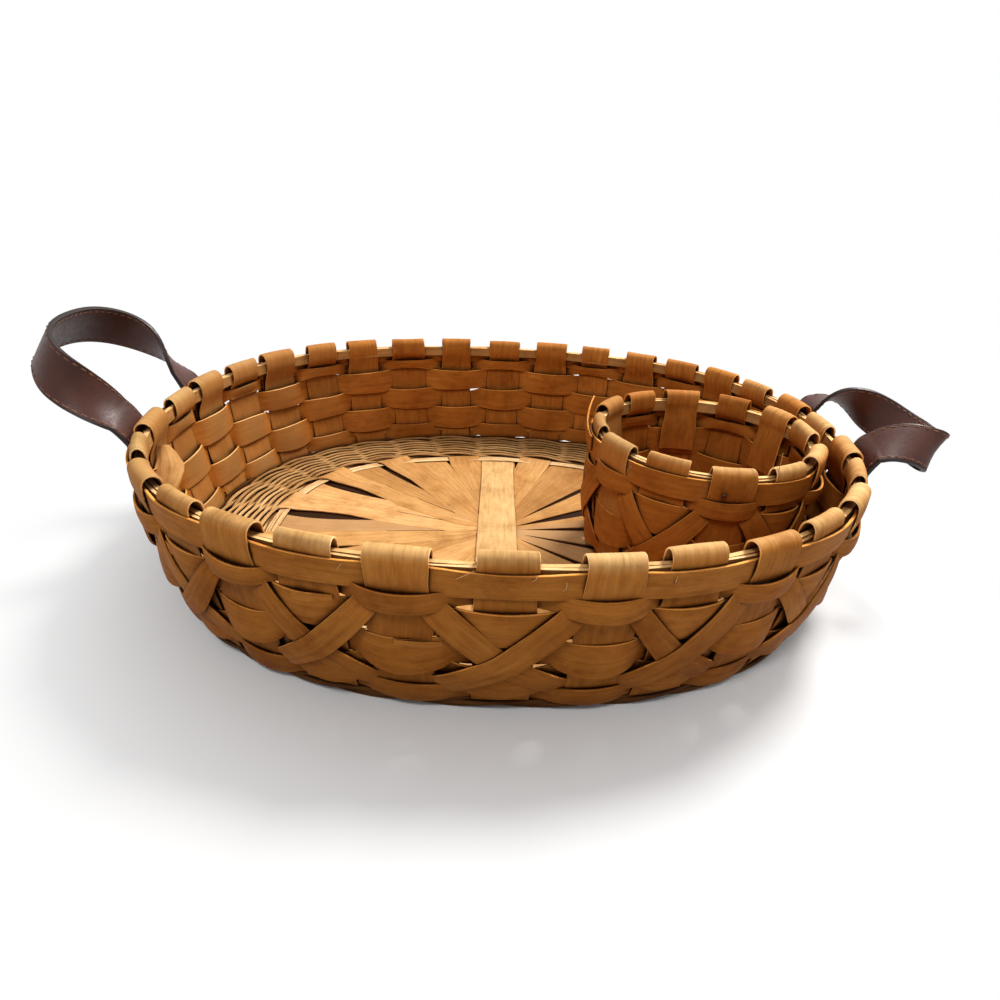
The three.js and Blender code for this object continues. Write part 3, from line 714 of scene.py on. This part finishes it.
# Its floor: splints that cross in the middle
DIP_CROSSINGS = 6
DIP_FLOOR_REACH = 52 * MM
for k in range(DIP_CROSSINGS):
    angle = math.pi * k / DIP_CROSSINGS
    t = np.linspace(-1, 1, 21)
    half = np.minimum(11 * MM, 2.5 * MM + np.abs(t) * 20 * MM)[:, None]
    line = t[:, None] * DIP_FLOOR_REACH
    rings = np.zeros((len(t), len(ACROSS), 3))
    rings[..., 0] = line * math.cos(angle) - ACROSS * half * math.sin(angle) + DIP_PLACE[0]
    rings[..., 1] = line * math.sin(angle) + ACROSS * half * math.cos(angle) + DIP_PLACE[1]
    rings[..., 2] = (0.55 + 0.14 * k) * MM + THROUGH * SPLINT / 2 + DIP_BASE
    strips.add(rings, (t + 1) * DIP_FLOOR_REACH, ACROSS * 10 * MM, EDGES)
dress(strips, "dip_stakes_splints", SPLINT_WOOD, "dip_basket", "splint", "dip_stakes")
weave(dip_wall, "dip_", "dip_basket", rows_between(DIP_HEIGHT, DIP_ROWS_FROM, False), droop=0.5)

# Floor of the big basket: fingers spreading from the middle, with slits between some of them
# For each slit, by the finger before it: where it starts, as a share of the finger, and half its width
SLITS = {1: (0.4, 1.4), 4: (0.07, 3.2), 6: (0.07, 3.6), 8: (0.07, 4.0), 10: (0.06, 5.8), 12: (0.1, 2.6)}
SLITS |= {14: (0.5, 0.8), 17: (0.5, 0.8), 19: (0.34, 3.0), 21: (0.42, 4.6), 23: (0.42, 5.4)}
SLITS |= {25: (0.45, 3.2), 27: (0.45, 2.0), 29: (0.4, 2.0), 31: (0.45, 1.4)}
# The other fingers meet in a hairline, and every slit stops short of the finger's end
HAIRLINE = (0.6, 0.12)
SLIT_STOP = 31 * MM
# Greatest value of the slits' curve
WIDEST = 0.385
FINGER_END = -5 * MM
FINGER_POINTS = 64
FINGER_HALF_WIDTH = 12.4 * MM
# Straight-edged fingers, how high the layers of the left half lie, in millimetres, and greyed fingers
STRAIGHT = {19, 21, 23, 25}
LAYERS = {19: 0.6, 20: 0.45, 21: 0.45, 22: 0.3, 23: 0.3, 24: 0.15, 25: 0.15}
GREYED = {5: 0.5, 6: 0.6, 7: 0.65, 8: 0.6, 9: 0.45, 24: 0.6}
# Fingers on either side of a slit differ in tone, and the others run into each other; the fingers at the back
# are painted darker as the far wall's shade
FINGER_TONES, shade_now = [], 0.5
for k in range(STAKES):
    if (k - 1) % STAKES in SLITS:
        shade_now = any_tone()
    FINGER_TONES.append(shade_now + rng.normal(0, 0.03) - 0.25 * (11 <= k <= 20))


def finger_line(k):
    """Length of a finger, the way it points and the way across it."""
    end = wall.at(k % STAKES * wall.pitch, FINGER_END, 0.0, BASE_LEAN)[:2]
    length = np.hypot(*end)
    way = end / length
    return length, way, np.array([-way[1], way[0]])


def slit_half(k, r, length):
    """Half width of the slit after finger k, along it."""
    begin, wide = SLITS.get(k, HAIRLINE)
    finish = 1 - SLIT_STOP / length
    t = np.clip((r / length - begin) / (finish - begin), 0, 1)
    return wide * MM * t * (1 - t) ** 0.5 / WIDEST


strips = Strips()
for k in range(STAKES):
    length, way, side = finger_line(k)
    r = np.linspace(0.03, 1, FINGER_POINTS) * length
    sides = []
    for j, sign in ((k - 1) % STAKES, -1), (k, 1):
        turn = math.acos(np.clip(np.dot(way, finger_line(k + sign)[1]), -1, 1)) / 2
        half = r * math.tan(turn) * 1.03 + 0.3 * MM
        if k in STRAIGHT and sign == 1:
            half = np.maximum(half, 9.5 * MM * smooth(r / (30 * MM)))
        half = half - slit_half(j, r, length)
        sides.append(np.clip(half, 0.6 * MM, FINGER_HALF_WIDTH)[:, None])
    left, right = sides
    offset = np.where(ACROSS < 0, ACROSS * left, ACROSS * right)
    # Odd fingers rise over the flat bundle of the twining
    over = np.exp(-(((r - length + 33 * MM) / (6 * MM)) ** 2)) if k % 2 else 0 * r
    z = (1.9 + LAYERS.get(k, 0.02 * (k % 2))) * MM + 2.0 * MM * over
    z = z + wobble(FINGER_POINTS, 0.1 * MM, 10) * (r > 0.4 * length)
    rings = np.zeros((FINGER_POINTS, len(ACROSS), 3))
    rings[..., :2] = r[:, None, None] * way + offset[..., None] * side
    rings[..., 2] = z[:, None] + THROUGH * SPLINT / 2
    strips.add(rings, r, ACROSS * 12 * MM, 0 * ACROSS, tone=FINGER_TONES[k], grey=GREYED.get(k, 0.0))
dress(strips, "floor_fingers", FLOOR_WOOD, "basket", "pale_splint", "floor_upper")

# The lower layer of fingers, and just above it a near-black copy, painted shade, that shows through the slits
# They narrow over this length at their ends
TAPER = 26 * MM
strips, shade = Strips(), Strips()
for k in range(1, STAKES, 2):
    length, way, side = finger_line(k)
    r = np.linspace(0.5 * MM, length, 24)
    half = np.minimum(np.maximum(r * 0.2, 3 * MM), 26 * MM)
    half = np.where(r > length - TAPER, np.maximum(12 * MM, half * (length - r) / TAPER), half)
    for made, level, thick, short in ((strips, 0.36, 0.5, 0), (shade, 0.85, 0.3, 14 * MM)):
        keep = r < length - short + 1e-6
        rings = np.zeros((keep.sum(), len(ACROSS), 3))
        rings[..., :2] = r[keep, None, None] * way + (ACROSS * half[keep, None])[..., None] * side
        rings[..., 2] = (level + 0.008 * k) * MM + THROUGH * thick / 2 * MM
        made.add(rings, r[keep], ACROSS * 20 * MM, 0 * ACROSS)
# A flat near-black ring of painted shade under the twining, and a dark ring behind the lowest row, painted
# shade at the wall's foot
count = STAKES * 8
s = np.arange(count) * wall.length / count
round_wall = np.r_[s, wall.length]
flat = wall.at(s[:, None], -19.5 * MM + 15 * MM * ACROSS, 1.15 * MM + THROUGH * 0.15 * MM, BASE_LEAN)
shade.add(flat, round_wall, ACROSS * 17 * MM, 0 * ACROSS, closed=True)
corner = Strips()
RING_LOW = 0.8 * MM
ring_high = (7.2 + 2.6 * smooth(0.7 + 1.1 * np.cos(2 * np.pi * s / wall.length))) * MM
ring_z = RING_LOW + (ring_high[:, None] - RING_LOW) * (1 + ACROSS) / 2
upright = wall.at(s[:, None], -1.5 * MM + THROUGH * 0.25 * MM, ring_z)
corner.add(upright, round_wall, ACROSS * 3 * MM, 0 * ACROSS, closed=True)
dress(strips, "floor_under", UNDER_WOOD, "basket", "pale_splint", "floor_lower")
dress(shade, "floor_under_shade", DARK_WOOD, "basket", "pale_splint")

# The strip across the middle
STRIP_REACH = 112 * MM
STRIP_HALF_WIDTH = 12.5 * MM
strips = Strips()
t = np.linspace(-STRIP_REACH, STRIP_REACH, 60)
rings = np.zeros((len(t), len(ACROSS), 3))
rings[..., 0] = ACROSS * (STRIP_HALF_WIDTH + wobble(len(t), 0.3 * MM, 10)[:, None])
rings[..., 1] = t[:, None]
drop = 0.5 * MM * smooth((np.abs(t) - 85 * MM) / (20 * MM))
level = 3.15 * MM - drop + wobble(len(t), 0.12 * MM, 8)
rings[..., 2] = level[:, None] + THROUGH * SPLINT / 2 + 0.2 * MM * (1 - ACROSS * ACROSS)
strips.add(rings, t + STRIP_REACH, ACROSS * STRIP_HALF_WIDTH, EDGES, tone=0.6)
dress(strips, "centre_strip_splint", PALE_WOOD, "basket", "pale_splint", "centre_strip")

# Twining: pairs of fine strands round the floor's edge, over and under the stakes
TWINING = 8
TWINING_STEP = 4.3 * MM
strips = Strips()
count = STAKES * 14
turn = np.pi * np.arange(count) * STAKES / count
# Share of the way towards the back, where the strands are painted darker as the far wall's shade
back = smooth(1.2 + 1.1 * np.cos(2 * turn / STAKES - np.pi) - 0.9)


def drift(size, grain=9):
    """Slow drift of a strand round the wall."""
    return ring_wobble(count, size * MM, grain)


for i in range(TWINING):
    middle = -0.2 * MM - (i + 0.5) * TWINING_STEP
    ground = 4.0 * MM + 1.6 * MM * (1 - i / (TWINING - 1)) ** 2
    for pair in range(2):
        phase = turn + pair * np.pi + rng.normal(0, 0.12)
        z = ground + 1.5 * MM * np.cos(phase) + drift(0.1)
        o = middle + 1.0 * MM * np.sin(phase) + drift(0.25)
        # Painted shade: darker at the back and in the two rows next to the wall
        tone = 0.62 - 0.5 * back - 0.2 * (i < 2) + rng.normal(0, 0.08)
        strand(strips, wall, o, z, rng.uniform(2.3, 2.8) * MM, 1.8 * MM, tone)
# A flat bundle just inside it, over every other finger and over the ends of the middle strip
ends = np.exp(-((np.mod(turn + np.pi * 8, np.pi * 16) / np.pi - 8) ** 2) * 4)
for i in range(6):
    o = -36.2 * MM - i * 1.05 * MM + drift(0.15, 12)
    z = 3.05 * MM + 0.75 * MM * ends + drift(0.08)
    strand(strips, wall, o, z, 1.25 * MM, 0.9 * MM, 0.8 + 0.2 * rng.uniform())
# Two twined pairs round the outer corner, under the lowest row, painted dark as shade at the wall's foot
LOWEST_STRAND = 1.3 * MM
for i, (middle, ground) in enumerate(((2.2 * MM, 4.9 * MM), (0.4 * MM, 2.3 * MM))):
    for pair in range(2):
        phase = turn + pair * np.pi + i * 0.7
        z = ground + 0.9 * MM * np.sin(phase) + drift(0.2)
        o = middle - 0.5 * MM + 1.1 * MM * np.cos(phase) + drift(0.15)
        strand(corner, wall, o, np.maximum(z, LOWEST_STRAND), 1.4 * MM, 2.4 * MM)
dress(strips, "twining_strands", STRAND_WOOD, "basket", "splint", "twining")
# The same strands from below, between the ends of the lower fingers
strips = Strips()
for i in range(9):
    o = -7.2 * MM - i * 3.3 * MM + 0.5 * MM * np.sin(turn + i * np.pi) + drift(0.2)
    strand(strips, wall, o, 0.78 * MM + drift(0.04), 2.7 * MM, 0.7 * MM)
dress(strips, "under_strands", UNDER_WOOD, "basket", "splint")
dress(corner, "corner_strands", CORNER_WOOD, "basket", "splint")

# Small loose things: a weaver's rough tongue inside the left end, stray fibres and a tack
strips = Strips()
t = np.linspace(0, 1, 26)
root = wall.at(25.8 * wall.pitch, -3 * MM, 51 * MM)
tip = wall.at(25.05 * wall.pitch, -5 * MM, 70 * MM)
line = root + np.outer(t, tip - root) + np.outer(5 * MM * np.sin(np.pi * t * 0.9), [1.0, 0.15, 0])
half = 7.5 * MM * np.sin(np.pi * (0.24 + 0.7 * t)) ** 0.6 + wobble(len(t), 0.35 * MM, 3)
wide = np.array([0.86, 0.51, 0.0])
face = np.cross(tip - root, wide)
face /= np.linalg.norm(face)
bow = THROUGH * 0.5 * MM + 1.0 * MM * ACROSS * ACROSS
rings = line[:, None] + (ACROSS * half[:, None])[..., None] * wide + bow[..., None] * face
strips.add(rings, t * 30 * MM, ACROSS * 10 * MM, EDGES, tone=0.45)
dress(strips, "loose_tongue", FLOOR_WOOD, "basket", "splint")

# Fibres: place in stakes, how far out and how high they start, and how they rise, run and curl
FIBRES = [
    (31.55, 2.2, 78.5, 4.5, 4.0, 1.5), (0.52, 2.4, 74.5, 4.5, 2.0, -1.5), (0.24, 2.4, 79, 2.5, 3.0, -2.0),
    (30.42, 2.4, 77.5, 3.5, 1.0, 0.8), (1.7, 2.4, 76, 4.0, -2.0, 2.0), (4.4, 2.4, 77, 4.0, 3.0, 1.0),
    (11.6, 2.4, 76, 5.0, 2.0, 1.0), (17.3, 2.4, 74, 5.0, -2.5, 1.0), (20.6, 2.4, 78, 4.0, 2.0, -1.0),
    (27.4, 2.4, 77, 4.0, 2.0, 1.0),
]
DIP_FIBRES = [(11.72, -1.5, 76, 15, -2.0, 1.0), (9.4, 2.2, 70, 4, 2.0, 1.0)]


def fibre(strips, wall, place, out, z, rise, run, curl):
    """A thin stray fibre standing off a strip."""
    t = np.linspace(0, 1, 9)
    s = place * wall.pitch + run * MM * t + curl * MM * t**2
    centre = wall.at(s, (out + 1.0 * np.sin(np.pi * t * 0.7)) * MM, (z + rise * t) * MM)
    side = unit(np.gradient(centre, axis=0))
    across = unit(np.cross(side, [0.3, 0.2, 0.9]))
    tube(strips, centre, across, np.cross(side, across), 0.36 * MM, 0.26 * MM, False, 0.6)


for of_wall, fibres, name, body in (
    (wall, FIBRES, "stray_fibres", "basket"), (dip_wall, DIP_FIBRES, "dip_stray_fibres", "dip_basket"),
):
    strips = Strips()
    for values in fibres:
        fibre(strips, of_wall, *values)
    dress(strips, name, PALE_WOOD, body, "splint")

# The tack, in rings: how far out and how wide, in millimetres
TACK_RINGS = ((1.6, 1.15), (3.5, 1.15), (3.85, 0.85), (4.0, 0.3))
TACK_PLACE, TACK_HEIGHT = 10.88 * dip_wall.pitch, 70 * MM
strips = Strips()
angle = np.linspace(0, 2 * np.pi, 16, endpoint=False)
centre = np.array([dip_wall.at(TACK_PLACE, out * MM, TACK_HEIGHT) for out, _ in TACK_RINGS])
rings = np.repeat(centre[:, None], len(angle), 1)
size = np.array([wide for _, wide in TACK_RINGS]) * MM
rings[..., 0] += size[:, None] * np.cos(angle)
rings[..., 2] += size[:, None] * np.sin(angle)
strips.add(rings, np.arange(len(size)) * MM, np.cos(angle) * 1.5 * MM, 0 * angle)
dress(strips, "dip_tack", TACK, "dip_basket", "splint")


# Straps

# Heights of the strap's ends on the wall, in millimetres, and how far out they lie
TAB_HEIGHTS = (75, 71.5, 67, 62)
TAB_OUT = 4.9 * MM
# Steps round a loop, how far off the wall it starts, and points along the whole strap
LOOP_STEPS, LOOP_CLEAR, STRAP_POINTS = 120, 6 * MM, 200
# Weight of the directions across, which are smoothed along with the points
ACROSS_SCALE = 0.02


def strap(side):
    """One stitched strap: flat on the wall, up and round the loop on edge, flat on the wall."""
    h = STRAPS[side]
    near, far = (k * wall.pitch for k in h["ends"])
    end_a, end_b = (wall.at(s, HINGE_OUT, HINGE_HEIGHT, even=True) for s in (near, far))
    centre = (end_a + end_b) / 2
    chord = end_b - end_a
    spread = np.linalg.norm(chord) / 2
    chord = chord / (2 * spread)
    up = np.array([0, 0, 1.0])
    level = np.cross(chord, up) * h["sign"]
    step = np.arange(LOOP_STEPS + 1)
    angle = np.pi * (1 - step / LOOP_STEPS)
    cos = np.cos(angle)
    away = h["reach"] * np.maximum(0, np.sin(angle)) ** (2 / h["power"])
    turned = smooth(away / STRAP_TWIST)
    along = (spread + h["spread"] * turned) * np.sign(cos) * np.abs(cos) ** (2 / h["power"])
    rise = math.radians(h["rise"])
    arc = (math.radians(h["end"]) - rise) * away / h["reach"] / 2

    def outward(slope):
        return np.outer(np.cos(slope), level) + np.outer(np.sin(slope), up)

    loop = centre + outward(rise + arc) * (away * np.sinc(arc / np.pi))[:, None]
    loop = loop + np.outer(along - h["skew"] * (away / h["reach"]) ** 2, chord)
    quarter = np.pi / 2 * turned
    twist = np.where(step * 2 <= LOOP_STEPS, quarter, np.pi - quarter)
    wide = outward(rise + 2 * arc + np.pi / 2) * np.sin(twist)[:, None] + np.outer(np.cos(twist), chord)
    keep = (away > LOOP_CLEAR) & (step % 3 == 0)
    points, across = list(loop[keep]), list(wide[keep])
    for z in TAB_HEIGHTS:
        first, last = (wall.at(s, TAB_OUT, z * MM, even=True) for s in (near, far))
        points = [first, *points, last]
        across = [chord, *across, -chord]
    both, _ = fold_path(np.hstack([np.array(points), np.array(across) * ACROSS_SCALE]), STRAP_POINTS)
    path, w = both[:, :3], both[:, 3:]
    run = unit(np.gradient(path, axis=0))
    w = unit(w - run * np.sum(w * run, 1, keepdims=True))
    along = np.r_[0, np.cumsum(np.linalg.norm(np.diff(path, axis=0), axis=1))]
    return path, w, np.cross(run, w), along


def stitch(path, w, out, along):
    """Stitches in the grooves of both faces."""
    threads = Strips()
    lift = STRAP_THICKNESS / 2 * GROOVE_FLOOR + np.array(STITCH_RISE)[:, None] * MM
    for edge in (-1, 1):
        for face in (-1, 1):
            for place in np.arange(2 * MM, along[-1] - 2 * MM, STITCH_STEP):
                t = place + np.linspace(-STITCH_HALF, STITCH_HALF, len(lift)) * STITCH_STEP
                here, across, up = (
                    np.stack([np.interp(t, along, v[:, k]) for k in range(3)], 1) for v in (path, w, out)
                )
                centre = here + across * edge * GROOVE * STRAP_WIDTH / 2 + up * face * lift
                tube(threads, centre, across, up, STITCH_WIDTH, STITCH_HEIGHT, False)
    return threads


def build_strap(side):
    """A strap and its stitches along one path, in place of the handle's loop and tabs."""
    path, w, out, along = strap(side)
    strips = Strips()
    front = np.array(STRAP_FACE)
    profile = np.vstack([front, front[-2::-1] * (1, -1), [(-1, 0)]])
    a, b = profile.T
    half = STRAP_WIDTH / 2 + wobble(len(path), 0.2 * MM, 20)
    rings = path[:, None] + w[:, None] * (a[None] * half[:, None])[..., None]
    rings = rings + out[:, None] * (b * STRAP_THICKNESS / 2)[None, :, None]
    strips.add(rings, along, a * STRAP_WIDTH / 2, np.abs(a) ** 4)
    piece = strips.build(f"{side}_strap", LEATHER)
    stitches = stitch(path, w, out, along).build(f"{side}_strap_stitches", THREAD)
    for made in (piece, stitches):
        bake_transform(made)
    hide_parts(*(f"{side}_handle_{part}" for part in ("loop", "tab_near", "tab_far")))


for side in STRAPS:
    build_strap(side)


# Stage, light and camera

FLOOR_SIZE = 6.0
# The floor runs out to plain white between these distances from the middle
FADE_START, FADE_END = 0.15, 0.32
# The floor's grey as the object gets its light from it, and as it is seen
FLOOR_BOUNCE, FLOOR_SEEN = (0.40, 0.40, 0.40), (0.88, 0.88, 0.88)
# Light of the surround from below and from above, and where it changes
GROUND_LIGHT, SKY_LIGHT = 0.12, 0.30
HORIZON = 0.05


def backdrop():
    """A white floor that keeps the shadow near the object and runs out to plain white."""
    mesh = bpy.data.meshes.new("floor")
    corners = [(FLOOR_SIZE * x, FLOOR_SIZE * y, 0) for x, y in ((-1, -1), (1, -1), (1, 1), (-1, 1))]
    mesh.from_pydata(corners, [], [(0, 1, 2, 3)])
    made = bpy.data.objects.new("floor", mesh)
    bpy.context.scene.collection.objects.link(made)
    made.visible_shadow = False
    n = Nodes(bpy.data.materials.new("pale_floor"))
    look = n.seen()
    n.set(Base_Color=n.mix(look, FLOOR_BOUNCE, FLOOR_SEEN), Roughness=0.9, Specular_IOR_Level=0.1)
    far = n.node("ShaderNodeVectorMath", n.place(), operation="LENGTH").outputs["Value"]
    share = n.node("ShaderNodeMapRange", far, FADE_START, FADE_END, interpolation_type="SMOOTHSTEP")
    shown = n.node("ShaderNodeMath", share.outputs[0], look, operation="MULTIPLY").outputs[0]
    white = n.node("ShaderNodeEmission").outputs[0]
    top = n.node("ShaderNodeMixShader", shown, n.shader.outputs[0], white).outputs[0]
    below = n.node("ShaderNodeNewGeometry").outputs["Backfacing"]
    clear = n.node("ShaderNodeBsdfTransparent").outputs[0]
    both = n.node("ShaderNodeMixShader", below, top, clear)
    n.link(both.outputs[0], n.tree.nodes["Material Output"].inputs[0])
    mesh.materials.append(n.owner)


def lamp(name, place, target, size, power, colour=(1, 1, 1)):
    """A round soft lamp."""
    data = bpy.data.lights.new(name, "AREA")
    data.shape, data.size = "DISK", size
    data.energy, data.color = power, colour
    made = bpy.data.objects.new(name, data)
    made.location = place
    made.rotation_euler = (Vector(target) - Vector(place)).to_track_quat("-Z", "Y").to_euler()
    bpy.context.scene.collection.objects.link(made)


def surround():
    """A world that is white where it is seen and gives soft light, weaker from below."""
    n = Nodes(bpy.data.worlds.new("studio"), "Background")
    place = n.node("ShaderNodeSeparateXYZ", n.node("ShaderNodeTexCoord").outputs["Generated"])
    sky = n.range(place.outputs["Z"], -HORIZON, HORIZON, GROUND_LIGHT, SKY_LIGHT)
    n.set(Color=(1, 1, 1, 1), Strength=n.range(n.seen(), 0.0, 1.0, sky, 1.0))
    bpy.context.scene.world = n.owner


backdrop()
lamp("key", (0.62, 0.62, 1.35), (0, 0, 0.04), size=0.5, power=31, colour=(1, 0.985, 0.96))
lamp("fill", (-0.25, -0.85, 1.35), (0, 0, 0.05), size=0.35, power=7.2)
surround()

# The camera at the photograph's viewing angle, its focal length in pixels of the picture
FOCAL_PIXELS, PICTURE_PIXELS = 620, 1000
SENSOR = 36
FOCAL = FOCAL_PIXELS / PICTURE_PIXELS * SENSOR
PITCH, YAW, ROLL = (math.radians(v) for v in (27.96, 1.21, 2.76))
TARGET = Vector((2.2, 46.7, 0)) * MM
DISTANCE = 448.9 * MM
camera = bpy.data.objects.new("camera", bpy.data.cameras.new("camera"))
camera.data.lens = FOCAL
camera.data.sensor_width = SENSOR
camera.data.clip_start = 0.01
heading = Matrix.Rotation(-YAW, 4, "Z") @ Matrix.Rotation(math.pi / 2 - PITCH, 4, "X")
rotation = heading @ Matrix.Rotation(ROLL, 4, "Z")
camera.matrix_world = Matrix.Translation(TARGET) @ rotation @ Matrix.Translation((0, 0, DISTANCE))
bpy.context.scene.collection.objects.link(camera)
bpy.context.scene.camera = camera
bpy.context.scene.view_settings.view_transform = "Standard"
